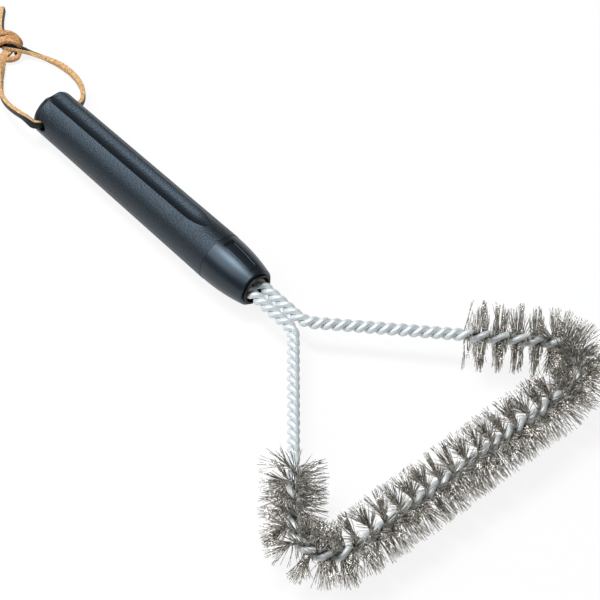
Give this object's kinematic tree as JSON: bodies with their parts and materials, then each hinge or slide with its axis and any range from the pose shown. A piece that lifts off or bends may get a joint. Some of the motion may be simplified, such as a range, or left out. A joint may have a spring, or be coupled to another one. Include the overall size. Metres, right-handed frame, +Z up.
{
  "type": "grill cleaning brush",
  "caption": "Three-sided wire grill brush: twisted wire bent into a triangle with bristles on its front bar and corners, a round plastic grip, and a leather hang loop.",
  "frame": {"origin": "middle of the brush's footprint on the table, at table height, without the lace", "axes": "+Y from the brush head to the butt of the grip, +X across the head, +Z up"},
  "size_m": [0.1991, 0.3774, 0.0353],
  "materials": {
    "grip_plastic": "fine moulded grain, with a smooth satin nose",
    "plug_plastic": "satin moulded",
    "sleeve_steel": "pressed, zinc plated",
    "galvanised_wire": "bright galvanised",
    "bristle_wire": null,
    "lace_leather": "black outside, tan inside"
  },
  "bodies": {
    "brush": {"grip": "grip_plastic", "nose_plug": "plug_plastic", "anchor_sleeve": "sleeve_steel", "wire_strand_a": "galvanised_wire", "wire_strand_b": "galvanised_wire", "bristles_left_side": "bristle_wire", "bristles_left_corner": "bristle_wire", "bristles_bar_1": "bristle_wire", "bristles_bar_2": "bristle_wire", "bristles_bar_3": "bristle_wire", "bristles_bar_4": "bristle_wire", "bristles_bar_5": "bristle_wire", "bristles_bar_6": "bristle_wire", "bristles_right_corner": "bristle_wire", "bristles_right_side": "bristle_wire"},
    "lace": {"lace_left": "lace_leather", "lace_right": "lace_leather", "lace_knot": "lace_leather", "lace_tail_long": "lace_leather", "lace_tail_short": "lace_leather"}
  },
  "joints": [
    {"name": "lace_swing", "type": "hinge", "parent": "brush", "child": "lace", "pos_m": [0, 0.14426, 0.0116], "axis": [0.9816, -0.0046, -0.1908], "range_deg": [-75, 120]}
  ]
}
